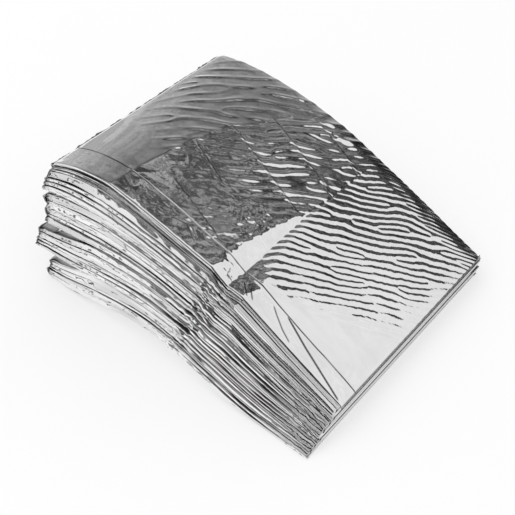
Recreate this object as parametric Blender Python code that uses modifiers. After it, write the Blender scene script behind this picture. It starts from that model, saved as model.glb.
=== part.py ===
"""Folded rescue blanket of aluminised film.

The blanket is one thin sheet, first folded lengthwise into a narrow strip of many plies, and then folded to
and fro across its length like an accordion. Sixteen leaves lie on each other, joined by fifteen folds: eight
at the loose lobe end (-X) and seven at the pressed spine (+X). Each leaf is modelled as the outer form of its
bundle of plies with the air held between them, and each fold as the half-round strip that carries the film
from one leaf to the next.

Frame: X from the lobe end to the spine, Y from the stepped near side to the far side, Z up. The origin is the
bottom centre of the packet's bounding box, on the plane it lies on.
"""

import math

import bmesh
import bpy
from mathutils import Vector

MM = 0.001

# ---- the packet ----
LEAVES = 16
LENGTH = 131.0 * MM          # lobe end to spine
CENTRE_X = 64.165 * MM       # the origin is midway between the outermost lobe fold and the spine
CENTRE_Y = 51.765 * MM       # and midway between the nearest and the farthest leaf edge
LOBE_HEIGHT = 45.7 * MM      # stack height at the lobe end
SPINE_HEIGHT = 10.3 * MM     # stack height at the spine
GAP = 0.30 * MM              # clearance between neighbouring pieces

# ---- how the leaves bow up between their ends ----
TOP_BOW_NEAR = 17.8 * MM
TOP_BOW_FAR = 11.8 * MM
TOP_BOW_SKEW = 0.8           # below 1 moves the crown towards the lobe end
BASE_BOW = 8.8 * MM
BASE_FLAT_LOBE = 8.0 * MM    # the bottom leaf is level under its two ends
BASE_FLAT_SPINE = 20.5 * MM
NEAR_DATUM = 12.5 * MM
FAR_DATUM = 106.2 * MM

# ---- the four lobes, bottom to top: foot height, thickness, end position, near edge at the lobe end, and
# how far each leaf in the lobe stands back from the one below it ----
LOBES = (
    {"foot": 0.0 * MM, "thick": 6.4 * MM, "end": 3.0 * MM, "near": -1.8 * MM, "step": 0.8 * MM},
    {"foot": 13.2 * MM, "thick": 7.2 * MM, "end": -1.5 * MM, "near": -0.8 * MM, "step": 0.9 * MM},
    {"foot": 23.4 * MM, "thick": 11.4 * MM, "end": 0.8 * MM, "near": 5.2 * MM, "step": 0.45 * MM},
    {"foot": 37.0 * MM, "thick": 8.7 * MM, "end": 0.0 * MM, "near": 6.2 * MM, "step": 2.1 * MM},
)
LEAVES_PER_LOBE = 4
GATHER = 34.0 * MM           # lobes have closed on each other this far from their ends

# ---- plan outline of the leaves ----
SPINE_NEAR_BOTTOM = -3.0 * MM
SPINE_NEAR_TOP = 14.6 * MM
FAR_STEP = 0.9 * MM
EDGE_STEP = 0.4 * MM

# ---- mesh density and rounding ----
LENGTH_CELLS = 13
WIDTH_CELLS = 3
EDGE_ROUND = 0.42            # of the leaf's thinnest side
ROUND_SEGMENTS = 1
FOLD_SEGMENTS = 7

FILM_SILVER = (0.80, 0.81, 0.82, 1.0)
FOLD_SILVER = (0.70, 0.71, 0.72, 1.0)


def clear_scene():
    for obj in list(bpy.data.objects):
        bpy.data.objects.remove(obj, do_unlink=True)
    for block in (bpy.data.meshes, bpy.data.curves, bpy.data.materials):
        for item in list(block):
            block.remove(item)


def smooth(t):
    t = min(max(t, 0.0), 1.0)
    return t * t * (3.0 - 2.0 * t)


def mix(a, b, t):
    return a + (b - a) * t


# ---------------------------------------------------------------- the stack's surfaces


def base_surface(x):
    """Height of the packet's underside at a distance x from the lobe end."""
    span = LENGTH - BASE_FLAT_LOBE - BASE_FLAT_SPINE
    t = min(max((x - BASE_FLAT_LOBE) / span, 0.0), 1.0)
    return BASE_BOW * math.sin(math.pi * t) ** 2


def top_surface(x, y):
    """Height of the packet's upper side: a straight slope to the spine with a bow on it."""
    t = min(max(x / LENGTH, 0.0), 1.0)
    across = (y - NEAR_DATUM) / (FAR_DATUM - NEAR_DATUM)
    bow = mix(TOP_BOW_NEAR, TOP_BOW_FAR, across)
    return mix(LOBE_HEIGHT, SPINE_HEIGHT, t) + bow * math.sin(math.pi * t ** TOP_BOW_SKEW)


def lobe_of(leaf):
    """Leaf 1 is the top one, lobe 0 the bottom one."""
    return LOBES[(LEAVES - leaf) // LEAVES_PER_LOBE]


def share(leaf, upper, x):
    """How far up the stack a leaf's face lies at x, from 0 at the underside to 1 at the top."""
    row = LEAVES - leaf + (1 if upper else 0)
    lobe = lobe_of(leaf)
    step = (LEAVES - leaf) % LEAVES_PER_LOBE + (1 if upper else 0)
    fanned = (lobe["foot"] + lobe["thick"] * step / LEAVES_PER_LOBE) / LOBE_HEIGHT
    return mix(fanned, row / LEAVES, smooth(x / GATHER))


def face_height(leaf, upper, x, y):
    low = base_surface(x)
    height = low + (top_surface(x, y) - low) * share(leaf, upper, x)
    if leaf == LEAVES and not upper:
        return height
    return height - GAP / 2 if upper else height + GAP / 2


# ---------------------------------------------------------------- plan outline


def edge_wander(leaf, phase):
    """The small sideways step of one leaf against the next; the same for a leaf on every build."""
    return EDGE_STEP * math.sin(leaf * 2.4 + phase)


def near_edge(leaf, x):
    t = min(max(x / LENGTH, 0.0), 1.0)
    lobe = lobe_of(leaf)
    at_lobe = lobe["near"] + lobe["step"] * ((LEAVES - leaf) % LEAVES_PER_LOBE)
    at_spine = mix(SPINE_NEAR_BOTTOM, SPINE_NEAR_TOP, (LEAVES - leaf) / (LEAVES - 1))
    return mix(at_lobe, at_spine, t) + edge_wander(leaf, 0.3)


def far_edge(leaf, x):
    t = min(max(x / LENGTH, 0.0), 1.0)
    return FAR_DATUM - FAR_STEP * (1.0 + math.sin(leaf * 1.7)) * (1.0 - 0.6 * t)


def lobe_end(leaf):
    return lobe_of(leaf)["end"]


def spine_end(leaf):
    """The pressed spine is not quite flush: its folds stand a little behind one another."""
    pair = leaf // 2
    return LENGTH - 0.35 * MM * (1.0 + math.sin(pair * 2.1))


def fold_at_lobe(fold):
    """Fold n joins leaf n to leaf n + 1; odd folds are at the lobe end."""
    return fold % 2 == 1


def fold_axis(fold):
    """Centre of the crease between two leaves: it runs along Y, in the contact plane of their ends."""
    x = lobe_end(fold) if fold_at_lobe(fold) else spine_end(fold)
    mid_y = 0.5 * (NEAR_DATUM + FAR_DATUM)
    upper = face_height(fold, False, x, mid_y)
    lower = face_height(fold + 1, True, x, mid_y)
    return Vector((x - CENTRE_X, 0.0, 0.5 * (upper + lower)))


# ---------------------------------------------------------------- builders


def film_material(name, colour, roughness):
    material = bpy.data.materials.new(name)
    material.use_nodes = True
    shader = material.node_tree.nodes["Principled BSDF"]
    shader.inputs["Base Color"].default_value = colour
    shader.inputs["Metallic"].default_value = 1.0
    shader.inputs["Roughness"].default_value = roughness
    material.diffuse_color = colour
    return material


def add_object(name, mesh, origin, material, collection):
    obj = bpy.data.objects.new(name, mesh)
    obj.location = origin
    mesh.materials.append(material)
    collection.objects.link(obj)
    return obj


def make_leaf(leaf, collection):
    """A box cut into cells and shaped to the leaf's two faces and its plan outline."""
    origin = Vector((LENGTH - CENTRE_X, 0.0, 0.0)) if leaf == LEAVES else fold_axis(leaf)
    start = lobe_end(leaf) + GAP / 2
    stop = spine_end(leaf) - GAP / 2
    bm = bmesh.new()
    bmesh.ops.create_cube(bm, size=1.0)
    for axis, cells in ((0, LENGTH_CELLS), (1, WIDTH_CELLS)):
        for i in range(1, cells):
            point = Vector((0.0, 0.0, 0.0))
            normal = Vector((0.0, 0.0, 0.0))
            point[axis] = i / cells - 0.5
            normal[axis] = 1.0
            geometry = bm.verts[:] + bm.edges[:] + bm.faces[:]
            bmesh.ops.bisect_plane(bm, geom=geometry, dist=1e-6, plane_co=point, plane_no=normal)
    for vert in bm.verts:
        x = mix(start, stop, vert.co.x + 0.5)
        y = mix(near_edge(leaf, x), far_edge(leaf, x), vert.co.y + 0.5)
        z = face_height(leaf, vert.co.z > 0.0, x, y)
        vert.co = Vector((x - CENTRE_X, y - CENTRE_Y, z)) - origin
    mesh = bpy.data.meshes.new(f"leaf_{leaf:02d}")
    bm.to_mesh(mesh)
    bm.free()
    material = film_material(f"film_leaf_{leaf:02d}", FILM_SILVER, 0.14 + 0.01 * (leaf % 4))
    obj = add_object(f"leaf_{leaf:02d}", mesh, origin, material, collection)
    round_long_edges(obj, leaf, stop)
    return obj


def round_long_edges(obj, leaf, stop):
    """The plies turn round at the near and far edges, so those long edges are eased."""
    mesh = obj.data
    weights = mesh.attributes.new("bevel_weight_edge", "FLOAT", "EDGE")
    for edge in mesh.edges:
        a, b = (mesh.vertices[i] for i in edge.vertices)
        faces_side = edge_on_side(mesh, edge)
        along = abs(a.co.x - b.co.x) > 2.0 * MM
        weights.data[edge.index].value = 1.0 if along and faces_side else 0.0
    thin = face_height(leaf, True, stop, 0.0) - face_height(leaf, False, stop, 0.0)
    bevel = obj.modifiers.new("eased_edges", "BEVEL")
    bevel.limit_method = "WEIGHT"
    bevel.width = EDGE_ROUND * thin
    bevel.segments = ROUND_SEGMENTS
    bevel.use_clamp_overlap = True


def edge_on_side(mesh, edge):
    """True for an edge that borders one of the two long side faces."""
    touching = [p for p in mesh.polygons if set(edge.vertices) <= set(p.vertices)]
    return any(abs(p.normal.y) > 0.8 for p in touching) and any(abs(p.normal.z) > 0.6 for p in touching)


def make_fold(fold, collection):
    """Half-round strip round the ends of two leaves: an open arc swept along Y, then thickened."""
    axis = fold_axis(fold)
    at_lobe = fold_at_lobe(fold)
    x = axis.x + CENTRE_X
    mid_y = 0.5 * (NEAR_DATUM + FAR_DATUM)
    top = face_height(fold, True, x, mid_y)
    bottom = face_height(fold + 1, False, x, mid_y)
    radius = 0.5 * (top - bottom)
    lift = 0.5 * (top + bottom) - axis.z
    outward = -1.0 if at_lobe else 1.0
    thickness = min(max(0.24 * radius, 0.16 * MM), 0.55 * MM)
    mid_radius = radius - thickness / 2
    near = max(near_edge(fold, x), near_edge(fold + 1, x)) + GAP - CENTRE_Y
    far = min(far_edge(fold, x), far_edge(fold + 1, x)) - GAP - CENTRE_Y
    bm = bmesh.new()
    rows = []
    for i in range(FOLD_SEGMENTS + 1):
        turn = math.pi * (i / FOLD_SEGMENTS - 0.5)
        px = outward * (GAP / 2 + mid_radius * math.cos(turn))
        pz = lift + mid_radius * math.sin(turn)
        rows.append(bm.verts.new((px, near, pz)))
    edges = [bm.edges.new((rows[i], rows[i + 1])) for i in range(FOLD_SEGMENTS)]
    swept = bmesh.ops.extrude_edge_only(bm, edges=edges)["geom"]
    verts = [g for g in swept if isinstance(g, bmesh.types.BMVert)]
    bmesh.ops.translate(bm, verts=verts, vec=(0.0, far - near, 0.0))
    bmesh.ops.recalc_face_normals(bm, faces=bm.faces)
    mesh = bpy.data.meshes.new(f"fold_{fold:02d}")
    bm.to_mesh(mesh)
    bm.free()
    material = film_material(f"film_fold_{fold:02d}", FOLD_SILVER, 0.2)
    obj = add_object(f"fold_{fold:02d}", mesh, axis, material, collection)
    shell = obj.modifiers.new("film_thickness", "SOLIDIFY")
    shell.thickness = thickness
    shell.offset = 0.0
    shell.use_even_offset = True
    return obj


def hang_on(child, parent):
    """Parents a piece to another, keeping it where it is."""
    child.parent = parent
    child.location = child.location - parent_origin[parent.name]


clear_scene()
packet = bpy.data.collections.new("folded_rescue_blanket")
bpy.context.scene.collection.children.link(packet)

leaves = {n: make_leaf(n, packet) for n in range(1, LEAVES + 1)}
folds = {n: make_fold(n, packet) for n in range(1, LEAVES)}
parent_origin = {obj.name: obj.location.copy() for obj in list(leaves.values()) + list(folds.values())}
for n in range(1, LEAVES):
    hang_on(leaves[n], leaves[n + 1])
    hang_on(folds[n], leaves[n])
bpy.context.view_layer.update()
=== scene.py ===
"""Looks of the folded rescue blanket: wrinkled aluminised film, ply by ply, on the accordion frame."""

import math
from collections import namedtuple

import bmesh
import bpy
import numpy as np
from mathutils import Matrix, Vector


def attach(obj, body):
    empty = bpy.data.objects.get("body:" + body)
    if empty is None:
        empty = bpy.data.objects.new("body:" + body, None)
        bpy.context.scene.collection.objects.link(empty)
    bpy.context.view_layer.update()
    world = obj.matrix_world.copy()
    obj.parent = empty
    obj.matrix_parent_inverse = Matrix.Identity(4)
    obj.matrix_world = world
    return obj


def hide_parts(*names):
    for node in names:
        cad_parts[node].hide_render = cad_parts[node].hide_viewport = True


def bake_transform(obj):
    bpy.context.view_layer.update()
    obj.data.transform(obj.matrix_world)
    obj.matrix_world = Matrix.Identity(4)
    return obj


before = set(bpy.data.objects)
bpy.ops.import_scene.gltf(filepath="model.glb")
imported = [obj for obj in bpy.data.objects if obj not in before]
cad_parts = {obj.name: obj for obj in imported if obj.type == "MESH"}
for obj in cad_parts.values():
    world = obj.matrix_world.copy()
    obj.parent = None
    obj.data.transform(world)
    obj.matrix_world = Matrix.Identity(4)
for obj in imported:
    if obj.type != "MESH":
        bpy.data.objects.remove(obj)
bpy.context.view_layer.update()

MM = 0.001

# ------------------------------------------------------------------ the stack, as the CAD lays it out (mm)
LEAVES = 16
LENGTH = 131.0
CENTRE_X = 64.165
CENTRE_Y = 51.765
LOBE_HEIGHT = 45.7
SPINE_HEIGHT = 10.3
GAP = 0.30
TOP_BOW_NEAR = 17.8
TOP_BOW_FAR = 11.8
TOP_BOW_SKEW = 0.8
BASE_BOW = 8.8
BASE_FLAT_LOBE = 8.0
BASE_FLAT_SPINE = 20.5
NEAR_DATUM = 12.5
FAR_DATUM = 106.2
Lobe = namedtuple("Lobe", "foot thickness end near step")
# bottom lobe first; step is how far the near edge moves in from leaf to leaf
LOBES = (
    Lobe(0.0, 6.4, 3.0, -1.8, 0.8),
    Lobe(13.2, 7.2, -1.5, -0.8, 0.9),
    Lobe(23.4, 11.4, 0.8, 5.2, 0.45),
    Lobe(37.0, 8.7, 0.0, 6.2, 2.1),
)
LEAVES_PER_LOBE = 4
GATHER = 34.0
SPINE_NEAR_BOTTOM = -3.0
SPINE_NEAR_TOP = 14.6
FAR_STEP = 0.9
EDGE_STEP = 0.4

CREASE_X = 82.6

# plies seen on the near side of each leaf, top leaf first
PLIES = (4, 1, 2, 3, 3, 2, 3, 2, 3, 2, 2, 3, 2, 2, 2, 2)
# their lean in degrees, towards the lobes and towards the spine
LEANS = (
    (32, 19), (43, 12), (33, 12), (39, 28), (33, 27), (31, 29), (31, 26), (30, 29),
    (34, 25), (30, 27), (31, 23), (34, 27), (30, 21), (31, 27), (33, 22), (30, 21),
)
# plies lean by turns more and less towards the spine, by this many degrees
SPINE_TURNS = (6, 0, 3, 12, 12, 12, 12, 12, 11, 11, 10, 12, 8, 11, 8, 8)

# how far the near side of a leaf stands out towards the spine, in mm
BULGES = {1: -0.15, 2: 0.95, 3: 0.45, 4: 0.2}
# leaves whose near side is a staircase of plies towards the spine
STEPPED = (1, 2, 3, 4)
# lean of the plies on the far side, in degrees, and how far each leaf there steps in
FAR_LEAN = 31.0
FAR_RAMP = 0.25
FAR_PLIES = 3


# ------------------------------------------------------------------ noise


LATTICE_SIZE = 256
LATTICES = {}


def lattice(seed):
    angle = np.random.default_rng(seed).uniform(0.0, 2.0 * math.pi, (LATTICE_SIZE, LATTICE_SIZE))
    return np.cos(angle), np.sin(angle)


def eased(t):
    return t * t * t * (t * (t * 6 - 15) + 10)


def noise(u, v, seed):
    """Smooth gradient noise, about -0.7 to 0.7."""
    if seed not in LATTICES:
        LATTICES[seed] = lattice(seed)
    gx, gy = LATTICES[seed]
    u, v = np.broadcast_arrays(np.asarray(u, float), np.asarray(v, float))
    iu = np.floor(u).astype(int)
    iv = np.floor(v).astype(int)
    fu = u - iu
    fv = v - iv
    wu, wv = eased(fu), eased(fv)

    def corner(du, dv):
        a = (iu + du) % LATTICE_SIZE
        b = (iv + dv) % LATTICE_SIZE
        return gx[a, b] * (fu - du) + gy[a, b] * (fv - dv)

    low = corner(0, 0) * (1 - wu) + corner(1, 0) * wu
    high = corner(0, 1) * (1 - wu) + corner(1, 1) * wu
    return low * (1 - wv) + high * wv


def layered(u, v, seed, octaves=3):
    """Noise with finer and weaker noise on top, each octave half as wide and half as strong."""
    total = 0.0
    for k in range(octaves):
        total = total + noise(u * 2 ** k, v * 2 ** k, seed + k) * 0.5 ** k
    return total


def smoothstep(a, b, t):
    t = np.clip((t - a) / (b - a), 0.0, 1.0)
    return t * t * (3.0 - 2.0 * t)


def past(line, width, t):
    """0 before a line and 1 after it, turning over within the width on either side."""
    return smoothstep(line - width, line + width, t)


def hump(across, width, along=0.0, length=1.0):
    """A soft bump: 1 in the middle, gone a couple of widths away."""
    return np.exp(-((across / width) ** 2) - (along / length) ** 2)


def cusp(across, width):
    """A sharp ridge: 1 on its line, falling away on both sides."""
    return np.exp(-np.abs(across) / width)


def mix(a, b, t):
    return a + (b - a) * t


def through(points, t):
    """Straight lines through (place, value) points."""
    places, values = zip(*points)
    return np.interp(t, places, values)


# ------------------------------------------------------------------ stack surfaces


def base_surface(x):
    t = np.clip((x - BASE_FLAT_LOBE) / (LENGTH - BASE_FLAT_LOBE - BASE_FLAT_SPINE), 0.0, 1.0)
    return BASE_BOW * np.sin(math.pi * t) ** 2


def plain_top(x, y):
    t = np.clip(x / LENGTH, 0.0, 1.0)
    bow = mix(TOP_BOW_NEAR, TOP_BOW_FAR, (y - NEAR_DATUM) / (FAR_DATUM - NEAR_DATUM))
    return mix(LOBE_HEIGHT, SPINE_HEIGHT, t) + bow * np.sin(math.pi * t ** TOP_BOW_SKEW)


# lines across the top leaf, as (y, x) points: where the crown breaks over into the slope, where the steep
# band that runs into the cross crease starts, and where the flat wedge behind that crease ends
KINK_LINE = (
    (15.0, 30.0), (30.0, 31.0), (50.0, 33.6), (70.0, 38.4), (83.0, 45.0), (95.0, 53.0), (106.0, 60.0),
)
BAND_LINE = ((15.0, 76.2), (30.0, 76.8), (50.0, 80.0), (62.0, 82.6))
WEDGE_LINE = ((15.0, 89.0), (22.0, 91.0), (28.0, 89.6), (36.0, 86.6), (46.0, 84.8), (60.0, 83.6))

# slopes along the top leaf in its near half, as (x, slope) points, and the even slopes of band and wedge
CROWN_SLOPE = ((0.0, 0.47), (10.0, 0.33), (20.0, 0.17), (34.0, 0.01), (60.0, -0.06))
BROKEN_SLOPE = ((20.0, -0.10), (33.0, -0.13), (45.0, -0.18), (60.0, -0.21), (75.0, -0.19))
FALL_SLOPE = ((84.0, -0.52), (91.0, -0.52), (104.0, -0.50), (116.0, -0.47), (131.0, -0.50))
BAND_SLOPE = -0.66
WEDGE_SLOPE = -0.07

# the pressed slopes fade into the plain bow between these places across the leaf
PRESSED_FULL, PRESSED_GONE = 46.0, 88.0


def pressed_slope(x, y):
    """Slope along the leaf in its near half: crown, break, steep band, crease, flat wedge, long fall."""
    slope = mix(through(CROWN_SLOPE, x), through(BROKEN_SLOPE, x), past(through(KINK_LINE, y), 0.8, x))
    slope = mix(slope, BAND_SLOPE, past(through(BAND_LINE, y), 0.6, x))
    slope = mix(slope, WEDGE_SLOPE, past(CREASE_X, 0.4, x))
    return mix(slope, through(FALL_SLOPE, x), past(through(WEDGE_LINE, y), 0.9, x))


TABLE_STEP = 0.25
TABLE_X = np.arange(-4.0, LENGTH + 4.1, TABLE_STEP)
TABLE_Y = np.arange(4.0, 112.1, 1.0)


def top_table():
    """Heights of the top film without its fine relief, summed up from its slopes between the two ends."""
    x, y = np.meshgrid(TABLE_X, TABLE_Y, indexing="ij")
    plain = plain_top(x, y)
    bowed = np.gradient(plain, TABLE_X, axis=0)
    nearest = np.gradient(plain_top(TABLE_X, np.full_like(TABLE_X, NEAR_DATUM)), TABLE_X)[:, None]
    slope = bowed + (pressed_slope(x, y) - nearest) * (1.0 - smoothstep(PRESSED_FULL, PRESSED_GONE, y))
    rises = 0.5 * (slope[1:] + slope[:-1]) * TABLE_STEP
    z = np.concatenate((np.zeros((1, len(TABLE_Y))), np.cumsum(rises, 0)))
    at_start = z[np.searchsorted(TABLE_X, 0.0)]
    z = z - at_start + LOBE_HEIGHT
    error = SPINE_HEIGHT - z[np.searchsorted(TABLE_X, LENGTH)]
    return z + error * np.clip(x / LENGTH, 0.0, 1.0) ** 1.5 - far_roll(x, y)


def far_roll(x, y):
    """The far rim bends down, more widely towards the spine."""
    width = 4.5 + 4.0 * smoothstep(62.0, 88.0, x) - 3.0 * smoothstep(108.0, 131.0, x)
    drop = 0.55 + 0.85 * smoothstep(62.0, 88.0, x) - 0.4 * smoothstep(112.0, 131.0, x)
    return drop * np.clip(1.0 - (FAR_DATUM - FAR_STEP - y) / width, 0.0, 1.25) ** 2.0


TABLE_Z = top_table()


def shaped_top(x, y):
    """Height of the top film without its fine relief, looked up in the table."""
    x, y = np.broadcast_arrays(np.asarray(x, float), np.asarray(y, float))
    i = np.clip((x - TABLE_X[0]) / TABLE_STEP, 0.0, len(TABLE_X) - 1.001)
    j = np.clip(y - TABLE_Y[0], 0.0, len(TABLE_Y) - 1.001)
    a, b = i.astype(int), j.astype(int)
    u, v = i - a, j - b
    near = TABLE_Z[a, b] * (1 - u) + TABLE_Z[a + 1, b] * u
    far = TABLE_Z[a, b + 1] * (1 - u) + TABLE_Z[a + 1, b + 1] * u
    return near * (1 - v) + far * v


def lobe_of(leaf):
    return LOBES[(LEAVES - leaf) // LEAVES_PER_LOBE]


def share(leaf, upper, x):
    """Share of the packet's height at which a leaf's face lies: in lobes, and even towards the spine."""
    row = LEAVES - leaf + (1 if upper else 0)
    lobe = lobe_of(leaf)
    step = (LEAVES - leaf) % LEAVES_PER_LOBE + (1 if upper else 0)
    fanned = (lobe.foot + lobe.thickness * step / LEAVES_PER_LOBE) / LOBE_HEIGHT
    return mix(fanned, row / LEAVES, smoothstep(0.0, GATHER, x))


def face_height(leaf, upper, x, y):
    low = base_surface(x)
    height = low + (shaped_top(x, y) - low) * share(leaf, upper, x)
    if leaf == LEAVES and not upper:
        return height
    return height - GAP / 2 if upper else height + GAP / 2


def near_edge(leaf, x):
    t = np.clip(x / LENGTH, 0.0, 1.0)
    lobe = lobe_of(leaf)
    at_lobe = lobe.near + lobe.step * ((LEAVES - leaf) % LEAVES_PER_LOBE)
    at_spine = mix(SPINE_NEAR_BOTTOM, SPINE_NEAR_TOP, (LEAVES - leaf) / (LEAVES - 1))
    return mix(at_lobe, at_spine, t) + EDGE_STEP * math.sin(leaf * 2.4 + 0.3)


def far_edge(leaf, x):
    t = np.clip(x / LENGTH, 0.0, 1.0)
    return FAR_DATUM - FAR_STEP * (1.0 + math.sin(leaf * 1.7)) * (1.0 - 0.6 * t)


def lobe_end(leaf):
    return lobe_of(leaf).end


def spine_end(leaf):
    return LENGTH - 0.35 * (1.0 + math.sin((leaf // 2) * 2.1))


def to_world(x, y, z):
    return np.stack(np.broadcast_arrays(x - CENTRE_X, y - CENTRE_Y, z), -1) * MM


# ------------------------------------------------------------------ meshes


def grid_faces(rows, columns, wrap=False):
    i = np.arange(rows - 1)[:, None]
    j = np.arange(columns if wrap else columns - 1)[None, :]
    k = (j + 1) % columns
    a, b = i * columns + j, i * columns + k
    c, d = (i + 1) * columns + k, (i + 1) * columns + j
    return np.stack(np.broadcast_arrays(a, b, c, d), -1).reshape(-1, 4)


def add_mesh(name, points, quads, caps=(), material=None, smooth=True):
    """A mesh from points and quads, with any end caps as single faces."""
    mesh = bpy.data.meshes.new(name)
    points = np.asarray(points, float).reshape(-1, 3)
    loops = [quads.ravel()] + [np.asarray(c) for c in caps]
    totals = np.concatenate([np.full(len(quads), 4)] + [np.array([len(c)]) for c in caps]).astype(np.int32)
    loops = np.concatenate(loops).astype(np.int32)
    mesh.vertices.add(len(points))
    mesh.vertices.foreach_set("co", points.astype(np.float32).ravel())
    mesh.loops.add(len(loops))
    mesh.loops.foreach_set("vertex_index", loops)
    mesh.polygons.add(len(totals))
    starts = np.concatenate(([0], np.cumsum(totals)[:-1])).astype(np.int32)
    mesh.polygons.foreach_set("loop_start", starts)
    mesh.update(calc_edges=True)
    mesh.validate()
    mesh.polygons.foreach_set("use_smooth", np.full(len(mesh.polygons), smooth))
    obj = bpy.data.objects.new(name, mesh)
    bpy.context.scene.collection.objects.link(obj)
    if material is not None:
        mesh.materials.append(material)
    return obj


def set_shade(obj, values):
    """Stores painted shade at each point, from 0, darkest, deep in a groove, to 1 in the open; the film
    materials multiply their colour by it.
    """
    attribute = obj.data.attributes.new("painted_shade", "FLOAT", "POINT")
    values = np.asarray(values, np.float32).ravel()
    attribute.data.foreach_set("value", values)


# ------------------------------------------------------------------ materials


# the darkest the painted shade makes the film's colour, deep in a groove
DARKEST_PAINTED_SHADE = 0.03
SMEAR_SCALE, CRINKLE_SCALE, GRAIN_SCALE = 42.0, 210.0, 2300.0


def film_material(name, brightness, grain, crinkle, roughness):
    """Aluminised film: mirror metal with a fine grain, pressed crinkles (both in mm) and faint smears, its
    colour darkened by the painted shade stored on each mesh.
    """
    material = bpy.data.materials.new(name)
    material.use_nodes = True
    tree = material.node_tree
    nodes, links = tree.nodes, tree.links
    shader = nodes["Principled BSDF"]
    shader.inputs["Metallic"].default_value = 1.0
    place = nodes.new("ShaderNodeTexCoord").outputs["Object"]

    def mottled(scale, **settings):
        node = nodes.new("ShaderNodeTexNoise")
        node.inputs["Scale"].default_value = scale
        for key, value in settings.items():
            node.inputs[key].default_value = value
        links.new(place, node.inputs["Vector"])
        return node.outputs["Fac"]

    def ranged(source, low, high, out_low, out_high):
        node = nodes.new("ShaderNodeMapRange")
        for key, value in (("From Min", low), ("From Max", high), ("To Min", out_low), ("To Max", out_high)):
            node.inputs[key].default_value = value
        links.new(source, node.inputs["Value"])
        return node.outputs["Result"]

    def bumped(source, distance):
        node = nodes.new("ShaderNodeBump")
        node.inputs["Strength"].default_value = 1.0
        node.inputs["Distance"].default_value = distance * MM
        links.new(source, node.inputs["Height"])
        return node

    smears = mottled(SMEAR_SCALE, Detail=4.0, Roughness=0.6)
    smeared = ranged(smears, 0.35, 0.7, roughness * 0.6, roughness * 1.7)
    links.new(smeared, shader.inputs["Roughness"])
    ramp = nodes.new("ShaderNodeValToRGB")
    for element, position, grey in zip(ramp.color_ramp.elements, (0.3, 0.7), (brightness * 0.93, brightness)):
        element.position = position
        element.color = (grey, grey, grey, 1.0)
    links.new(smears, ramp.inputs["Fac"])
    # painted shade: the value stored on the mesh darkens the colour in grooves, creases and folds
    painted_shade = nodes.new("ShaderNodeAttribute")
    painted_shade.attribute_name = "painted_shade"
    shaded = nodes.new("ShaderNodeMix")
    shaded.data_type = "RGBA"
    shaded.blend_type = "MULTIPLY"
    shaded.inputs[0].default_value = 1.0
    links.new(ramp.outputs["Color"], shaded.inputs[6])
    links.new(ranged(painted_shade.outputs["Fac"], 0.0, 1.0, DARKEST_PAINTED_SHADE, 1.0), shaded.inputs[7])
    links.new(shaded.outputs[2], shader.inputs["Base Color"])

    fine = bumped(mottled(GRAIN_SCALE, Detail=1.0, Roughness=0.5), grain)
    pressed = bumped(mottled(CRINKLE_SCALE, Detail=3.0, Roughness=0.55, Distortion=0.6), crinkle)
    links.new(fine.outputs["Normal"], pressed.inputs["Normal"])
    links.new(pressed.outputs["Normal"], shader.inputs["Normal"])
    return material


TOP_FILM = film_material("film_top", 0.95, grain=0.008, crinkle=0.02, roughness=0.02)
LEAF_FILM = film_material("film_leaf", 0.93, grain=0.006, crinkle=0.05, roughness=0.05)
# the folds are the same film, painted darker as shade
FOLD_FILM = film_material("film_fold", 0.70, grain=0.012, crinkle=0.12, roughness=0.16)


# ------------------------------------------------------------------ top film relief

FREE_EDGE_Y = 24.3

# slanting creases across the middle of the leaf
Slant = namedtuple("Slant", "x0 x1 y0 rise height")
SLANT_CREASES = (
    Slant(38.0, 80.0, 69.0, -0.31, 0.055),
    Slant(45.0, 81.0, 84.5, -0.30, 0.060),
    Slant(68.0, 85.0, 94.8, -0.27, 0.070),
    Slant(34.0, 56.0, 52.4, -0.38, 0.050),
    Slant(38.5, 68.0, 33.5, -0.26, 0.050),
)

# ripple ends and forks on the crown, in the middle and on the fall: x, y, turn
CROWN_FORKS = (
    (13.0, 66.0, 1), (21.0, 84.0, -1), (30.0, 73.0, 1), (9.0, 81.0, -1), (33.0, 92.0, 1), (18.0, 57.0, -1),
)
MIDDLE_FORKS = (
    (58.0, 70.0, 1), (66.0, 86.0, -1), (74.0, 69.0, 1), (52.0, 60.0, -1), (71.0, 78.0, -1), (62.0, 92.0, 1),
    (77.0, 86.0, 1), (49.0, 76.0, 1),
)
FALL_FORKS = (
    (88.0, 88.0, 1), (97.0, 90.0, -1), (93.0, 72.0, 1), (101.0, 78.0, 1), (108.0, 88.0, -1),
    (112.0, 74.0, 1), (104.0, 64.0, -1), (96.0, 58.0, 1), (91.0, 49.0, -1), (116.0, 82.0, -1),
    (121.0, 92.0, 1), (119.0, 66.0, 1), (100.0, 50.0, 1), (110.0, 56.0, -1), (124.0, 78.0, -1),
    (87.0, 66.0, -1), (106.0, 97.0, 1), (114.0, 94.0, -1),
)


def forked(x, y, forks):
    """Phase that adds or removes one ripple at each listed point."""
    total = np.zeros_like(x)
    for fx, fy, turn in forks:
        total = total + turn * np.arctan2(y - fy, x - fx)
    return total


def from_cross_crease(x, y):
    return x - CREASE_X - 0.25 * noise(y / 17.0, 5.0, 21)


def film_zones(x, y):
    """Weights of the crown, the middle and the fall of the top film, split at its pressed lines."""
    fall = past(0.0, 0.3, from_cross_crease(x, y))
    crown = 1.0 - smoothstep(-2.0, 3.5, x - through(KINK_LINE, y))
    return crown, (1.0 - crown) * (1.0 - fall), fall


def ripple_phase(x, y, lean, wanders, squeeze, spacing, forks):
    """Phase of ripples that slant across the leaf; each wander is a size, two wavelengths and a seed."""
    line = lean * x
    for size, wave_x, wave_y, seed in wanders:
        line = line + size * noise(x / wave_x, y / wave_y, seed)
    return 2.0 * math.pi * (y - line) * squeeze / spacing + forked(x, y, forks)


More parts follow.
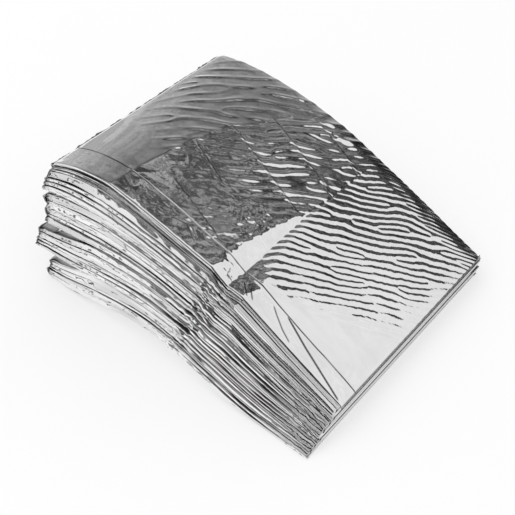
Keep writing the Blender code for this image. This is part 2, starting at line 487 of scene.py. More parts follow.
def crown_ripples(x, y):
    """Soft ridges about 6 mm apart."""
    phase = ripple_phase(x, y, 0.80, ((2.6, 24.0, 24.0, 11), (0.6, 7.0, 7.0, 12)), 0.78, 5.6, CROWN_FORKS)
    patch = np.clip(0.55 + 1.1 * noise(x / 15.0 + 4.0, y / 7.0, 13), 0.0, 1.0)
    strength = 0.34 * patch * smoothstep(44.0, 60.0, y + 0.35 * x) * smoothstep(1.0, 8.0, x)
    return strength * (0.5 + 0.5 * np.sin(phase)) ** 3.2


def middle_ripples(x, y):
    """Thin ridges about 4 mm apart, shifted at every slanting crease."""
    phase = ripple_phase(x, y, 1.18, ((3.0, 22.0, 22.0, 14), (0.9, 6.0, 6.0, 15)), 0.65, 3.9, MIDDLE_FORKS)
    for k, crease in enumerate(SLANT_CREASES):
        phase = phase + (1.9 + 0.8 * k) * past(0.0, 0.4, y - crease.y0 - crease.rise * (x - crease.x0))
    patch = np.clip(0.62 + 1.0 * noise(x / 13.0, y / 6.0 + 7.0, 16), 0.08, 1.15)
    across = mix(0.22, 1.0, smoothstep(46.0, 60.0, y))
    along = mix(0.7, 1.0, smoothstep(48.0, 66.0, x))
    return 0.23 * patch * across * along * (0.5 + 0.5 * np.sin(phase)) ** 2.2


def fall_ripples(x, y):
    """Even waves about 3 mm apart that die out towards the near spine corner."""
    phase = ripple_phase(x, y, 1.02, ((3.4, 21.0, 26.0, 17), (0.8, 6.0, 6.0, 18)), 0.70, 2.7, FALL_FORKS)
    phase = phase + 0.9 * noise(x / 1.7, y / 1.3, 19)
    patch = np.clip(0.95 + 0.8 * noise(x / 10.0, y / 5.0, 20), 0.35, 1.3)
    border = 26.0 + 0.60 * np.maximum(x - 94.0, 0.0) + 5.0 * noise(x / 9.0, 0.0, 22)
    strength = 0.092 * patch * smoothstep(-3.0, 9.0, y - border) * (1.0 - 0.6 * smoothstep(124.0, 129.5, x))
    strength = strength * (1.0 + 0.5 * hump(y - 50.0, 10.0) * (1.0 - smoothstep(100.0, 116.0, x)))
    return strength * (np.sin(phase) + 0.18 * np.sin(2.0 * phase + 0.9))


def far_strip_ripples(x, y):
    """Finer waves, 1.75 mm apart, in the strip beside the far rim."""
    phase = 2.0 * math.pi * (y - 0.75 * x + 1.2 * noise(x / 9.0, y / 9.0, 23)) * 0.8 / 1.75
    return 0.12 * np.sin(phase) * np.clip(0.7 + noise(x / 7.0, y / 3.0, 24), 0.1, 1.3)


def ripples(x, y):
    crown, middle, fall = film_zones(x, y)
    far_strip = smoothstep(95.0, 99.5, y + 0.045 * (x - 90.0)) * smoothstep(80.0, 90.0, x)
    total = crown * crown_ripples(x, y) + middle * middle_ripples(x, y)
    return total + fall * fall_ripples(x, y) * (1.0 - far_strip) + far_strip * far_strip_ripples(x, y)


def ridge(x, y, path, height, width, taper=3.0, step=0.0):
    """A pressed crease along a path: a sharp ridge that fades at its ends, maybe with a step across it."""
    best = np.full_like(x, 1e9)
    side = np.zeros_like(x)
    fade = np.zeros_like(x)
    lengths = [math.dist(a, b) for a, b in zip(path[:-1], path[1:])]
    whole = sum(lengths)
    run = 0.0
    for (ax, ay), (bx, by), length in zip(path[:-1], path[1:], lengths):
        dx, dy = (bx - ax) / length, (by - ay) / length
        t = np.clip((x - ax) * dx + (y - ay) * dy, 0.0, length)
        px, py = x - ax - t * dx, y - ay - t * dy
        d = np.hypot(px, py)
        nearer = d < best
        best = np.where(nearer, d, best)
        side = np.where(nearer, np.sign(dx * py - dy * px), side)
        place = run + t
        ends = smoothstep(0.0, taper, place) * smoothstep(0.0, taper, whole - place)
        fade = np.where(nearer, ends, fade)
        run += length
    sharp = cusp(best, width)
    return (height * sharp + step * side * (1.0 - sharp) * cusp(best, 6.0 * width)) * fade


PRESSED_CREASES = (
    # path as (x, y) points, height, width, step
    (((30.4, 25.0), (31.8, 33.0), (33.4, 50.0), (38.3, 69.5), (45.8, 83.5), (53.0, 95.0)), 0.05, 0.8, 0.05),
    (((29.5, 49.0), (33.0, 58.0), (37.6, 69.0)), 0.06, 0.7, 0.03),
    (((34.0, 52.5), (37.0, 55.5), (42.0, 60.5)), 0.10, 0.6, 0.05),
    (((37.5, 33.5), (38.5, 36.5), (40.5, 40.0), (37.0, 45.0)), 0.12, 0.6, 0.05),
    (((38.0, 69.5), (44.0, 76.0), (51.0, 83.5)), 0.10, 0.55, 0.05),
    (((39.5, 103.0), (44.0, 101.0), (52.0, 100.5)), -0.12, 0.6, 0.05),
    (((28.0, 25.4), (31.0, 22.0), (36.5, 18.6)), 0.26, 0.55, 0.10),
    (((35.5, 17.5), (38.0, 16.6), (43.5, 13.8)), 0.24, 0.6, 0.10),
    (((21.5, 22.0), (24.5, 18.5)), -0.10, 0.4, 0.05),
    (((58.5, 21.5), (66.5, 18.0)), -0.10, 0.40, 0.06),
    (((84.5, 23.0), (87.0, 19.5), (89.5, 15.5)), 0.14, 0.45, 0.05),
    (((85.0, 19.0), (88.5, 22.5)), 0.10, 0.40, 0.05),
    (((95.5, 21.5), (101.5, 18.2), (107.5, 16.3)), -0.16, 0.35, 0.06),
    (((101.5, 22.8), (107.0, 21.0), (116.0, 18.2), (129.5, 15.8)), -0.20, 0.38, 0.08),
)

# folded-in lines of the near strip, painted dark: path as (x, y) points, width, depth of the painted shade
STRIP_LINES = (
    (((101.0, 22.9), (107.0, 21.2), (112.0, 19.8), (120.0, 17.9), (130.0, 15.6)), 0.42, 1.0),
    (((96.0, 21.9), (99.5, 19.8), (103.5, 17.8), (108.5, 16.2)), 0.30, 0.9),
    (((109.0, 23.2), (109.9, 21.9)), 0.26, 0.9),
    (((112.6, 23.1), (114.4, 21.7)), 0.22, 0.8),
    (((84.6, 20.4), (87.0, 18.3), (90.5, 15.4)), 0.36, 1.0),
    (((87.8, 20.6), (89.6, 18.4), (92.4, 15.9)), 0.32, 1.0),
    (((93.0, 21.0), (94.8, 19.0)), 0.20, 0.7),
    (((79.0, 20.8), (79.9, 18.4), (80.3, 16.0)), 0.24, 0.8),
    (((58.0, 22.0), (61.0, 19.8), (66.5, 17.0)), 0.26, 0.6),
    (((21.8, 22.2), (24.6, 18.4)), 0.24, 0.5),
)


# small pushed-up bumps, most of them near the far rim: x, y, length, width, height
BUMPS = (
    (56.0, 100.0, 1.5, 1.6, 0.32),
    (61.2, 100.6, 2.4, 1.5, 0.40),
    (66.3, 98.4, 2.0, 1.4, 0.36),
    (71.2, 99.8, 2.6, 2.0, 0.50),
    (80.0, 78.0, 2.4, 1.2, 0.18),
    (76.5, 75.5, 1.8, 1.0, 0.16),
    (58.0, 80.5, 1.2, 1.4, 0.15),
    (72.0, 60.0, 1.6, 1.6, 0.16),
)
BUMP_LEAN = 0.35


def facets(x, y):
    """Flat pressed facets meeting in sharp valleys, at three sizes."""
    turned_x, turned_y = 0.8 * x + 0.6 * y, 0.8 * y - 0.6 * x
    total = 0.11 * np.abs(noise(turned_x / 13.0, turned_y / 8.0, 64))
    total = total + 0.07 * np.abs(noise(x / 7.0, y / 4.6, 65))
    return total + 0.022 * np.abs(noise(turned_x / 3.6, turned_y / 2.4, 66))


def slant(x, y, crease):
    """Distance across a slanting crease, and how strongly the crease shows there along its run."""
    across = y - crease.y0 - crease.rise * (x - crease.x0) - 0.25 * noise(x / 4.0, crease.y0, 34)
    starts = smoothstep(crease.x0 - 1.0, crease.x0 + 1.5, x)
    return across, starts * (1.0 - smoothstep(crease.x1 - 2.0, crease.x1, x))


def crease_relief(x, y):
    """Every pressed line of the top film."""
    # the long free edge of the last wrap, lying a ply higher than the strip beside it
    off = y - free_edge(x)
    lip = past(0.0, 0.13, off) * cusp(np.maximum(off, 0.0), 5.0)
    h = smoothstep(0.0, 3.0, x) * (0.075 * lip - 0.05 * hump(off + 0.2, 0.16))
    reach = (1.0 - smoothstep(93.0, 97.0, y)) * smoothstep(28.0, 50.0, y)
    h = h - 0.07 * cusp(from_cross_crease(x, y), 0.28) * reach
    for crease in SLANT_CREASES:
        across, reach = slant(x, y, crease)
        h = h + 0.35 * crease.height * reach * (cusp(across, 0.30) - 0.6 * hump(across + 1.0, 0.6))
        h = h + 0.035 * reach * noise(x / 1.1, crease.y0, 35) * hump(across + 0.9, 1.1)
    for path, height, width, step in PRESSED_CREASES:
        h = h + ridge(x, y, path, height, width, step=step)
    return h


def pressed_relief(x, y):
    """Pressed-in unevenness: fine in the middle, long and low elsewhere, strong beside the cross crease."""
    crown, middle, _ = film_zones(x, y)
    rough = middle * mix(0.9, 0.7, smoothstep(56.0, 70.0, y))
    h = rough * (0.030 * layered(x / 4.2, y / 3.0, 41) + facets(x, y))
    h = h + 0.10 * layered(x / 24.0, y / 17.0, 45) + 0.012 * crown * layered(x / 5.0, y / 3.5, 46)
    strip = 1.0 - smoothstep(21.5, 24.0, y)
    h = h + 0.05 * strip * layered(x / 4.5, y / 3.2, 47)
    crush = hump(x - 81.0, 5.0) * (1.0 - smoothstep(20.0, 25.0, y))
    h = h + 0.16 * crush * layered(x / 2.6, y / 3.2, 49)
    h = h + 0.22 * hump(x - 73.0, 6.0, y - 41.0, 6.0) * layered(x / 2.6, y / 2.2, 53, 2)
    band_edge = hump(x - through(BAND_LINE, y), 1.6) * (1.0 - smoothstep(60.0, 66.0, y))
    h = h + 0.16 * band_edge * layered(x / 2.4, y / 2.8, 61, 2)
    h = h + 0.35 * hump(x - 86.0, 3.4, y - 23.0, 7.0) * smoothstep(CREASE_X, CREASE_X + 1.0, x)
    for bump_x, bump_y, length, width, height in BUMPS:
        h = h + height * hump(x - bump_x, length, y - bump_y - BUMP_LEAN * (x - bump_x), width)
    corner = smoothstep(120.0, 129.0, x) * (1.0 - smoothstep(24.0, 36.0, y))
    return h + 0.05 * corner * layered(x / 3.0, y / 5.0, 57)


def film_relief(x, y):
    return ripples(x, y) + crease_relief(x, y) + pressed_relief(x, y)


def free_edge(x):
    """Where the long free edge of the last wrap lies, across the leaf."""
    wander = 0.45 * noise(x / 22.0, 0.0, 31) + 0.12 * noise(x / 5.0, 0.0, 32)
    return FREE_EDGE_Y + wander - 0.7 * smoothstep(30.0, 80.0, x) - 0.6 * smoothstep(84.0, 120.0, x)


def rim_drop(x, y):
    """How far the film, and the leaf under it, turn down at the near rim and at both ends."""
    d_near = y - near_edge(1, x)
    d_lobe = x - lobe_end(1)
    d_spine = LENGTH + 0.1 - x
    drop = 0.5 * np.clip(1.0 - d_near / 1.0, 0.0, 1.3) ** 2.2
    drop = drop + 0.7 * np.clip(1.0 - d_lobe / 1.6, 0.0, 1.1) ** 2.0
    return drop + 0.25 * np.clip(1.0 - d_spine / 0.5, 0.0, 1.1) ** 2.0


FILM_STEP = 0.37
# points across the near strip, over the free edge and across the rest of the sheet
STRIP_POINTS, LIP_POINTS, SHEET_POINTS = 30, 13, 214
# the close points over the free edge reach from before it to beyond it by this much
LIP_BEFORE, LIP_BEYOND = 0.6, 0.5
FILM_OVER_LOBE, FILM_OVER_SPINE = 0.1, 0.15

# how far the film's rim is carried down at the near side, at the spine end and elsewhere (mm)
SKIRT_NEAR, SKIRT_SPINE, SKIRT_ELSEWHERE = 0.12, 0.35, 1.0
# the rim counts as near below this y, and as the spine's beyond this x (m in the shared frame)
NEAR_RIM_Y, SPINE_RIM_X = -0.0355, 0.062
# the film's skirt at the spine end is painted dark with this shade
SPINE_SKIRT_SHADE = 0.1


def film_shade(x, y, edge, stop):
    """Painted shade of the top film: a painted shadow in the step at the free edge, and darkening in the
    creases, along the folded-in lines and at the spine end.
    """
    lit = smoothstep(38.0, 43.0, x) * (1.0 - smoothstep(70.0, 84.0, x))
    # painted shadow in the notch under the free edge, left off where that edge catches the light
    notch_width = 0.17 + 0.08 * (1.0 - smoothstep(24.0, 40.0, x))
    notch = hump(y - edge + 0.18, notch_width) * (1.0 - lit)
    shade = 1.0 - 0.97 * notch * (0.55 + 0.45 * smoothstep(-0.3, 0.1, noise(x / 9.0, 2.0, 33)))
    # painted dark lines along the slanting creases and the folded-in lines of the strip
    for crease in SLANT_CREASES:
        across, reach = slant(x, y, crease)
        shade = shade * (1.0 - 0.75 * reach * hump(across, 0.22))
    for path, width, depth in STRIP_LINES:
        line = ridge(x, y, path, 1.0, width, taper=2.0)
        shade = shade * (1.0 - depth * smoothstep(0.25, 0.75, line))
    return shade * smoothstep(0.05, 0.30, stop - x)


def top_film():
    """The outermost film: the wrinkled upper sheet, turned down over its four edges."""
    start, stop = lobe_end(1) - FILM_OVER_LOBE, LENGTH + FILM_OVER_SPINE
    xs = np.linspace(start, stop, int((stop - start) / FILM_STEP))
    near = near_edge(1, xs) + 0.25 * noise(xs / 18.0, 0.0, 51)
    far = far_edge(1, xs) + 0.25 * noise(xs / 16.0, 0.0, 52)
    edge = free_edge(xs)
    before, beyond = edge - LIP_BEFORE, edge + LIP_BEYOND
    pieces = (
        (near, before, np.linspace(0.0, 1.0, STRIP_POINTS)[:-1]),
        (before, beyond, np.linspace(0.0, 1.0, LIP_POINTS)[:-1]),
        (beyond, far, np.linspace(0.0, 1.0, SHEET_POINTS)),
    )
    y = np.concatenate([mix(a[:, None], b[:, None], t[None, :]) for a, b, t in pieces], 1)
    x = np.repeat(xs[:, None], y.shape[1], 1)
    z = face_height(1, True, x, y) + film_relief(x, y) - rim_drop(x, y)
    quads = grid_faces(*x.shape)[:, ::-1]
    obj = add_mesh("top_film", to_world(x, y, z), quads, material=TOP_FILM)
    add_skirt(obj)
    places = np.empty(3 * len(obj.data.vertices))
    obj.data.vertices.foreach_get("co", places)
    shades = np.where(places[0::3] > (LENGTH - CENTRE_X) * MM, SPINE_SKIRT_SHADE, 1.0)
    shades[: y.size] = film_shade(x, y, edge[:, None], stop).ravel()
    set_shade(obj, shades)
    return obj


def add_skirt(obj):
    """Carries the film's rim down a little on every side, so that no edge shows a gap."""
    bm = bmesh.new()
    bm.from_mesh(obj.data)
    rim = [e for e in bm.edges if e.is_boundary]
    grown = bmesh.ops.extrude_edge_only(bm, edges=rim)["geom"]
    for vert in (g for g in grown if isinstance(g, bmesh.types.BMVert)):
        if vert.co.y < NEAR_RIM_Y:
            vert.co.z -= SKIRT_NEAR * MM
        elif vert.co.x > SPINE_RIM_X:
            vert.co.z -= SKIRT_SPINE * MM
        else:
            vert.co.z -= SKIRT_ELSEWHERE * MM
    bmesh.ops.recalc_face_normals(bm, faces=bm.faces)
    bm.to_mesh(obj.data)
    bm.free()
    obj.data.polygons.foreach_set("use_smooth", np.full(len(obj.data.polygons), True))


# ------------------------------------------------------------------ leaves, ply by ply


def pinch_line(leaf):
    """Where the near side of a leaf is pinched, drifting towards the spine from bottom leaf to top leaf."""
    return mix(71.0, 80.5, (LEAVES - leaf) / (LEAVES - 1))


Side = namedtuple("Side", "pinch end_crumple tip past_pinch crisp at_end ramp lean_lobe lean_spine")


def side_zones(leaf, x, near):
    """Along a leaf's side: where it is pinched, crumpled and crisp, its step in and the lean of its plies."""
    from_pinch = x - pinch_line(leaf)
    past_pinch = smoothstep(-1.0, 6.0, from_pinch)
    nowhere = np.zeros_like(x)
    if not near:
        tip = smoothstep(14.0, 0.0, x)
        lean = math.radians(FAR_LEAN)
        return Side(nowhere, nowhere, tip, past_pinch, nowhere, nowhere, FAR_RAMP + nowhere, lean, lean)
    upper = min(leaf, LEAVES - 1)
    return Side(
        pinch=hump(from_pinch, 4.0),
        end_crumple=smoothstep(112.0, 126.0, x) * (0.55 if 4 < leaf < 14 else 0.2),
        tip=smoothstep(9.0, 0.0, x - lobe_end(leaf)),
        past_pinch=past_pinch,
        crisp=past_pinch if leaf in STEPPED else nowhere,
        at_end=smoothstep(106.0, 124.0, x),
        ramp=np.clip(near_edge(upper, x) - near_edge(upper + 1, x), 0.15, 3.0),
        lean_lobe=math.radians(LEANS[leaf - 1][0]),
        lean_spine=math.radians(LEANS[leaf - 1][1]),
    )


def ply_lean(x, tall, heights, steady, uneven, zones, k, key):
    """How far a ply has leaned in at each of its heights, with tilts that vary along it and up it."""
    wild = math.radians(20.0) * (zones.pinch + zones.end_crumple) + math.radians(30.0) * zones.tip
    run = np.zeros_like(x)
    path = [run]
    for below, above in zip(heights[:-1], heights[1:]):
        v = 0.5 * (below + above) * tall
        tilt = steady + uneven * math.radians(16.0) * noise(x / 11.0, 2.7 * k + v / 1.6, key + 5)
        tilt = tilt + uneven * math.radians(9.0) * layered(x / 3.6, 2.7 * k + v / 0.9, key + 6, 2)
        tilt = tilt + wild * layered(x / 3.2, 2.7 * k + v / 1.3, key + 8, 2)
        tilt = tilt + math.radians(52.0) * zones.pinch * noise(x / 3.6, 1.3 * k + v / 2.2, key + 15)
        at_end = layered(x / 6.0, 2.7 * k + v / 2.4, key + 14, 2)
        tilt = tilt + math.radians(42.0) * zones.end_crumple * at_end
        run = run + np.tan(np.clip(tilt, -0.6, 1.1)) * tall * (above - below)
        path.append(run)
    return path


def ply_side(leaf, x, near):
    """Side of a leaf as separate ply edges, bottom to top: share of height, distance in from the edge,
    painted shade.

    Each noise takes the side's key plus a number of its own as its seed.
    """
    plies = PLIES[leaf - 1] if near else FAR_PLIES
    samples = 8 + 16 // plies if near else 5
    key = 100 * leaf + (0 if near else 50)
    rng = np.random.default_rng(key)
    weights = rng.uniform(0.4, 2.0, plies)
    cuts = np.concatenate(([0.0], np.cumsum(weights) / weights.sum()))
    edge = near_edge(leaf, x) if near else far_edge(leaf, x)
    thick = face_height(leaf, True, x, edge) - face_height(leaf, False, x, edge)
    zones = side_zones(leaf, x, near)
    crisp, pinch, ramp = zones.crisp, zones.pinch, zones.ramp
    turns = math.radians(SPINE_TURNS[leaf - 1]) * zones.past_pinch if near else 0.0
    uneven = mix(1.0, 0.55, zones.past_pinch) * (0.5 if leaf == 1 else 1.0) * (1.0 - 0.5 * crisp)
    rough = 0.10 + 0.9 * pinch + zones.end_crumple + 0.4 * zones.tip
    upright = math.radians(11.0) * pinch
    lean = mix(zones.lean_lobe, zones.lean_spine, zones.past_pinch)
    step_in = ramp / plies + 0.15
    softened = (1.0 - (0.25 if leaf == 1 else 0.6) * crisp) * (1.0 - 0.5 * zones.at_end)
    sway = 0.38 / plies
    us = 0.5 - 0.5 * np.cos(np.pi * np.arange(samples) / (samples - 1))
    heights, insets, shades = [], [], []
    for k in range(plies):
        low = cuts[k] + (0.0 if k == 0 else sway) * noise(x / 30.0, k, key + 1)
        high = cuts[k + 1] + (0.0 if k == plies - 1 else sway) * noise(x / 30.0, k + 1, key + 1)
        tall = np.maximum(thick * (high - low), 0.05)
        out = rng.uniform(-0.25, 0.35) + 0.7 * noise(x / 38.0, k, key + 2)
        if near and leaf in BULGES:
            out = out + BULGES[leaf] * smoothstep(82.0, 90.0, x)
        out = out + rough * layered(x / 4.0, k, key + 3)
        drift = math.radians(5.0) * rng.normal() + math.radians(13.0) * noise(x / 28.0, k, key + 4)
        steady = lean + (turns if k % 2 else -turns) + uneven * drift - upright
        power = rng.uniform(6.0, 14.0)
        depth = np.minimum(0.8, 0.12 + 0.6 * tall)
        lean_path = ply_lean(x, tall, us, steady, uneven, zones, k, key)
        balance = 0.5 * lean_path[-1]
        # painted dark spots where the side is pinched or crumpled
        painted_spot_strength = 0.6 * pinch + 0.2 * zones.end_crumple
        painted_spots = smoothstep(-0.1, 0.2, noise(x / 1.6, 2.1 * k, key + 9)) * painted_spot_strength
        line = mix(0.45, 1.0, smoothstep(-0.25, 0.15, noise(x / 13.0, 1.7 * k, key + 12)))
        veil = mix(0.78, 1.0, smoothstep(-0.25, 0.20, noise(x / 30.0, 1.9 * k, key + 13)))
        for u, leaning in zip(us, lean_path):
            rounded = (1.0 - abs(2.0 * u - 1.0) ** power) ** 0.5
            stepped_height = through(((0.0, 0.0), (0.08, 0.04), (0.74, 0.90), (0.83, 0.97), (1.0, 1.0)), u)
            ledge = through(((0.74, 0.0), (0.83, 0.12), (1.0, 1.0)), u)
            stepped = step_in * ledge + 0.3 * smoothstep(0.08, 0.0, u)
            heights.append(mix(low, high, mix(u, stepped_height, crisp)))
            profile = mix(depth * (1.0 - rounded), stepped, crisp)
            set_back = ramp * (1.0 - 0.5 * (low + high))
            insets.append(profile - out - set_back + (leaning - balance) * (1.0 - 0.6 * crisp))
            spots = smoothstep(-0.05, 0.25, noise(x / 1.1, 1.9 * k + u * tall / 0.8, key + 10))
            # painted shade in the grooves between the plies, of varying strength along them
            groove = 1.0 - smoothstep(0.02, 0.14, min(u, 1.0 - u) * tall / np.minimum(1.0, tall))
            shade = veil * (1.0 - line * groove * softened) * (1.0 - 0.8 * painted_spots * spots)
            # the plies are painted dark towards the lobe end, with a ragged border
            ragged = x - lobe_end(leaf) - 1.5 + 2.2 * noise(x / 1.4, 2.3 * k + u * tall / 0.9, key + 11)
            shades.append(shade * mix(1.0, past(0.0, 1.4, ragged), 0.9 if near else 0.5))
    return np.stack(heights, 1), np.stack(insets, 1), np.stack(shades, 1)


LEAF_ROWS = 420
FACE_POINTS = 42
# the top leaf keeps this far below the top film, and no leaf gets thinner than this (mm)
TOP_CLEARANCE = 0.30
THINNEST = 0.1
SIDE_SPREAD = 0.3


def leaf_bundle(leaf):
    """One leaf of the pleated strip: wrinkled faces above and below, separate ply edges along both sides."""
    start = lobe_end(leaf) + GAP / 2
    stop = spine_end(leaf) - GAP / 2
    xs = np.linspace(start, stop, LEAF_ROWS)
    lower = TOP_CLEARANCE if leaf == 1 else 0.0
    near, far = near_edge(leaf, xs), far_edge(leaf, xs)
    ys, zs, shades = [], [], []

    def side(is_near):
        heights, insets, shade = ply_side(leaf, xs, is_near)
        if is_near:
            y = near[:, None] + insets + SIDE_SPREAD
        else:
            y = far[:, None] - insets[:, ::-1] - SIDE_SPREAD
            heights, shade = heights[:, ::-1], shade[:, ::-1]
        x = np.repeat(xs[:, None], heights.shape[1], 1)
        low, high = face_height(leaf, False, x, y), face_height(leaf, True, x, y) - lower
        if leaf == 1:
            turned = rim_drop(x, y)
            turned = mix(turned, np.minimum(turned, 0.4), smoothstep(86.0, 92.0, x))
            high = np.maximum(high - turned, low + THINNEST)
        ys.append(y)
        zs.append(mix(low, high, heights))
        shades.append(shade)

    def face(upper):
        t = np.linspace(0.02, 0.98, FACE_POINTS)
        t = t if upper else t[::-1]
        y = mix(near[:, None], far[:, None], t[None, :])
        x = np.repeat(xs[:, None], len(t), 1)
        wave = 0.09 * noise(x / 9.0, y / 9.0, 700 + leaf)
        ys.append(y)
        z = face_height(leaf, upper, x, y) + (wave - lower if upper else -wave)
        if leaf == 1 and upper:
            z = np.maximum(z - rim_drop(x, y), face_height(leaf, False, x, y) + THINNEST)
        zs.append(z)
        shades.append(np.ones_like(y))

    side(True)
    face(True)
    side(False)
    face(False)
    y, z, shade = np.concatenate(ys, 1), np.concatenate(zs, 1), np.concatenate(shades, 1)
    if leaf == LEAVES:
        z = np.maximum(z, 0.0)
    x = np.repeat(xs[:, None], y.shape[1], 1)
    rows, columns = x.shape
    ring = np.arange(columns)
    caps = (ring[::-1], (rows - 1) * columns + ring)
    quads = grid_faces(rows, columns, wrap=True)
    obj = add_mesh(f"film_leaf_{leaf:02d}", to_world(x, y, z), quads, caps, LEAF_FILM)
    set_shade(obj, shade)
    return obj


# ------------------------------------------------------------------ folds


FOLD_ROWS = 170
OUTER_POINTS, INNER_POINTS = 15, 9
# inner radius of a fold's film against its outer one
FILM_HOLLOW = 0.62
# where a fold's turning axis is given; any place across the leaf would do (mm)
BLEND_Y = 50.0


def fold_crush(fold, y, a):
    """How crumpled a fold is round its turn: strongly at the loose end, little at the spine."""
    if fold % 2 == 0:
        return 0.10 * noise(y / 11.0, a * 0.5, 960 + fold)
    return 0.42 * layered(y / 2.6, a * 0.9 + fold, 900 + fold) + 0.22 * noise(y / 14.0, a * 0.5, 930 + fold)


def fold_strip(fold):
    """The film turning round from one leaf to the next: a crushed half tube, open towards the leaves.

    Returns it with the points where its upper and its lower leaf take over.
    """
    lobe = fold % 2 == 1
    x0 = lobe_end(fold) if lobe else spine_end(fold)
    near = max(float(near_edge(leaf, np.array(x0))) for leaf in (fold, fold + 1)) + 0.2
    far = min(float(far_edge(leaf, np.array(x0))) for leaf in (fold, fold + 1)) - 0.3
    mid = np.array([0.5 * (NEAR_DATUM + FAR_DATUM)])
    top = float(face_height(fold, True, np.array([x0]), mid)[0])
    bottom = float(face_height(fold + 1, False, np.array([x0]), mid)[0])
    radius = 0.5 * (top - bottom)
    centre = 0.5 * (top + bottom)
    outer = np.linspace(0.5 * math.pi, -0.5 * math.pi, OUTER_POINTS)
    inner = np.linspace(-0.5 * math.pi, 0.5 * math.pi, INNER_POINTS)
    y, a = np.meshgrid(np.linspace(near, far, FOLD_ROWS), np.concatenate((outer, inner)), indexing="ij")
    shell = np.broadcast_to(np.concatenate((np.ones(OUTER_POINTS), np.zeros(INNER_POINTS))), y.shape)
    r = radius * mix(FILM_HOLLOW, 1.0, shell) * (1.0 + fold_crush(fold, y, a) * np.cos(a))
    outward = -1.0 if lobe else 1.0
    squeeze = 0.8 if lobe else 0.9
    x = x0 + outward * (-0.10 + squeeze * r * np.cos(a))
    z = centre + r * np.sin(a) * 0.98
    if fold == 1:
        z = z - np.clip(np.sin(a), 0.0, 1.0) ** 1.5
    rows, columns = y.shape
    quads = grid_faces(rows, columns, wrap=True)
    ring = np.arange(columns)
    caps = (ring[::-1], (rows - 1) * columns + ring)
    if not lobe:
        quads = quads[:, ::-1]
        caps = tuple(cap[::-1] for cap in caps)
    obj = add_mesh(f"film_fold_{fold:02d}", to_world(x, y, z), quads, caps, FOLD_FILM)
    # painted shade on the fold: darker where it turns in towards the leaves, and darker still on its inner
    # film
    painted_turn_shade = 0.35 + 0.65 * np.cos(a) if lobe else 1.3 * np.cos(a) - 0.2
    painted_turn_shade = np.clip(painted_turn_shade, 0.9 if fold == 1 else 0.0, 1.0)
    # painted dark blotches on the crumpled lobe folds, strongest at their near end
    blotch_mask = smoothstep(-0.3, 0.25, noise(y / 1.6, a * 1.3 + fold, 990 + fold))
    painted_blotch_shade = mix(1.0, blotch_mask, 0.15 + 0.65 * smoothstep(6.0, 1.0, y - near)) if lobe else 1.0
    set_shade(obj, np.where(shell > 0.5, 1.0, 0.3) * painted_turn_shade * painted_blotch_shade)
    return obj, tuple(to_world(x0, BLEND_Y, top)), tuple(to_world(x0, BLEND_Y, bottom))


# ------------------------------------------------------------------ build

film = top_film()
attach(film, "layer_01")
for leaf in range(1, LEAVES + 1):
    bundle = leaf_bundle(leaf)
    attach(bundle, f"layer_{leaf:02d}")
    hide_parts(f"leaf_{leaf:02d}")
for fold in range(1, LEAVES):
    strip, upper_point, lower_point = fold_strip(fold)
    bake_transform(strip)
    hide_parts(f"fold_{fold:02d}")


# ------------------------------------------------------------------ floor, light, camera


FLOOR_HALF = 6.0
# heights of the floor under the packet and beyond the lobes, and where it sinks from one to the other (m)
FLOOR_LEVEL, FLOOR_SUNK = -0.0002, -0.0065
SINK_START, SINK_END = -0.085, -0.30


def pale_floor():
    """Floor of the stage. It sinks beyond the lobes, where the bows of the drawn-out strip dip."""
    sunk = ((-FLOOR_HALF, FLOOR_SUNK), (SINK_END, FLOOR_SUNK))
    profile = sunk + ((SINK_START, FLOOR_LEVEL), (FLOOR_HALF, FLOOR_LEVEL))
    corners = [(x, y, z) for x, z in profile for y in (-FLOOR_HALF, FLOOR_HALF)]
    strips = [(2 * k, 2 * k + 2, 2 * k + 3, 2 * k + 1) for k in range(len(profile) - 1)]
    mesh = bpy.data.meshes.new("floor")
    mesh.from_pydata(corners, [], strips)
    floor = bpy.data.objects.new("floor", mesh)
    bpy.context.scene.collection.objects.link(floor)
    material = bpy.data.materials.new("pale_floor")
    material.use_nodes = True
    shader = material.node_tree.nodes["Principled BSDF"]
    shader.inputs["Base Color"].default_value = (0.40, 0.40, 0.40, 1.0)
    shader.inputs["Emission Color"].default_value = (1.0, 1.0, 1.0, 1.0)
    shader.inputs["Emission Strength"].default_value = 0.54
    shader.inputs["Roughness"].default_value = 0.9
    shader.inputs["Specular IOR Level"].default_value = 0.0
    floor.data.materials.append(material)


# directions from the packet to the middle of the softbox, and along the frame's axes
TO_SOFTBOX = (0.60, -0.45, 0.66)
SIDE, DEPTH, HEIGHT = (1.0, 0.0, 0.0), (0.0, 1.0, 0.0), (0.0, 0.0, 1.0)
CARD_BRIGHTNESS = 0.95


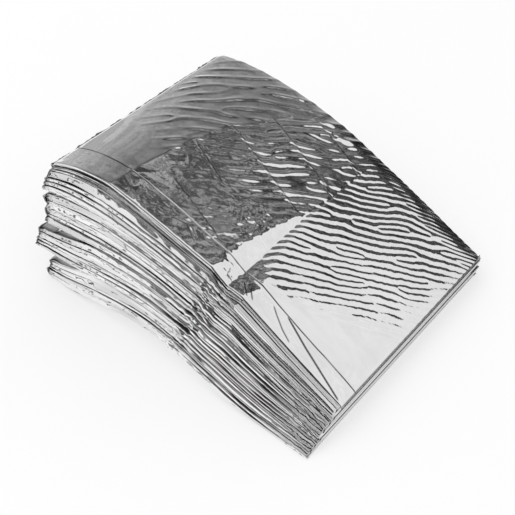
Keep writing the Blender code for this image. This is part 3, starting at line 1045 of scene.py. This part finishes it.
def studio_world():
    """White room for the eye and for diffuse light; mirrors see a softbox with dark and grey surrounds."""
    world = bpy.data.worlds.new("studio")
    bpy.context.scene.world = world
    world.use_nodes = True
    tree = world.node_tree
    nodes, links = tree.nodes, tree.links
    nodes.clear()
    direction = nodes.new("ShaderNodeTexCoord").outputs["Generated"]

    def feed(*pairs):
        for socket, value in pairs:
            if isinstance(value, (int, float)):
                socket.default_value = value
            else:
                links.new(value, socket)

    def towards(vector):
        node = nodes.new("ShaderNodeVectorMath")
        node.operation = "DOT_PRODUCT"
        node.inputs[1].default_value = vector
        links.new(direction, node.inputs[0])
        return node.outputs["Value"]

    def step(source, low, high):
        """0 at low and 1 at high, with a soft turn; low may be the larger."""
        node = nodes.new("ShaderNodeMapRange")
        node.interpolation_type = "SMOOTHSTEP"
        node.inputs["From Min"].default_value = low
        node.inputs["From Max"].default_value = high
        links.new(source, node.inputs["Value"])
        return node.outputs["Result"]

    def ramp(source, low, high, out_low, out_high):
        result = step(source, low, high)
        result.node.interpolation_type = "LINEAR"
        result.node.inputs["To Min"].default_value = out_low
        result.node.inputs["To Max"].default_value = out_high
        return result

    def times(a, b):
        node = nodes.new("ShaderNodeMath")
        node.operation = "MULTIPLY"
        feed((node.inputs[0], a), (node.inputs[1], b))
        return node.outputs[0]

    def blend(a, b, factor):
        node = nodes.new("ShaderNodeMix")
        node.data_type = "FLOAT"
        feed((node.inputs[0], factor), (node.inputs[2], a), (node.inputs[3], b))
        return node.outputs[0]

    def mottle(scale):
        node = nodes.new("ShaderNodeTexNoise")
        node.inputs["Scale"].default_value = scale
        node.inputs["Detail"].default_value = 1.0
        links.new(direction, node.inputs["Vector"])
        return node.outputs["Fac"]

    side, depth, height, towards_box = towards(SIDE), towards(DEPTH), towards(HEIGHT), towards(TO_SOFTBOX)
    grain, drift = mottle(34.0), mottle(11.0)
    dark = times(ramp(grain, 0.34, 0.66, 0.04, 0.27), ramp(drift, 0.36, 0.64, 0.5, 1.7))
    dark = times(dark, times(ramp(towards_box, -0.05, 0.12, 0.4, 1.25), ramp(side, -0.10, 0.12, 1.0, 0.28)))
    # behind the object: a large softbox to the right, a dim grey wall low on the left, dark between
    softbox = step(towards_box, 0.30, 0.335)
    grey = times(ramp(height, 0.15, 0.62, 0.46, 0.17), ramp(grain, 0.34, 0.66, 0.74, 1.26))
    wall = times(step(side, -0.02, -0.20), step(height, 0.72, 0.61))
    behind = blend(blend(dark, grey, wall), ramp(drift, 0.35, 0.65, 0.76, 0.86), softbox)
    # before the object: a low bright card to the left, dark above it and to the right
    card = times(step(side, 0.18, 0.04), times(step(height, 0.03, 0.07), step(height, 0.50, 0.43)))
    before = blend(dark, CARD_BRIGHTNESS, card)
    seen = blend(before, behind, step(depth, -0.20, -0.06))
    path = nodes.new("ShaderNodeLightPath")
    strength = blend(1.0, seen, path.outputs["Is Glossy Ray"])
    background = nodes.new("ShaderNodeBackground")
    background.inputs["Color"].default_value = (1.0, 1.0, 1.0, 1.0)
    links.new(strength, background.inputs["Strength"])
    output = nodes.new("ShaderNodeOutputWorld")
    links.new(background.outputs[0], output.inputs["Surface"])


KEY_PLACE = (-0.3, -0.4, 0.9)
KEY_SIZE = (0.8, 0.6)
KEY_WATTS = 2.0


def soft_key():
    """One wide lamp over the packet; mirrors don't see it."""
    light = bpy.data.lights.new("soft_key", "AREA")
    light.shape = "RECTANGLE"
    light.size, light.size_y = KEY_SIZE
    light.energy = KEY_WATTS
    obj = bpy.data.objects.new("soft_key", light)
    bpy.context.scene.collection.objects.link(obj)
    obj.location = KEY_PLACE
    obj.rotation_euler = (Vector((0, 0, 0)) - obj.location).to_track_quat("-Z", "Y").to_euler()
    obj.visible_glossy = False


CAMERA_PLACE = (0.15470, -0.18539, 0.25655)
CAMERA_LOOK = (-0.44545, 0.53502, -0.71786)
CAMERA_LENS = 62.92


def camera():
    data = bpy.data.cameras.new("camera")
    data.sensor_width = 36.0
    data.lens = CAMERA_LENS
    data.clip_start = 0.01
    obj = bpy.data.objects.new("camera", data)
    bpy.context.scene.collection.objects.link(obj)
    obj.location = CAMERA_PLACE
    obj.rotation_euler = Vector(CAMERA_LOOK).normalized().to_track_quat("-Z", "Y").to_euler()
    bpy.context.scene.camera = obj


pale_floor()
studio_world()
soft_key()
camera()
bpy.context.scene.view_settings.view_transform = "Standard"
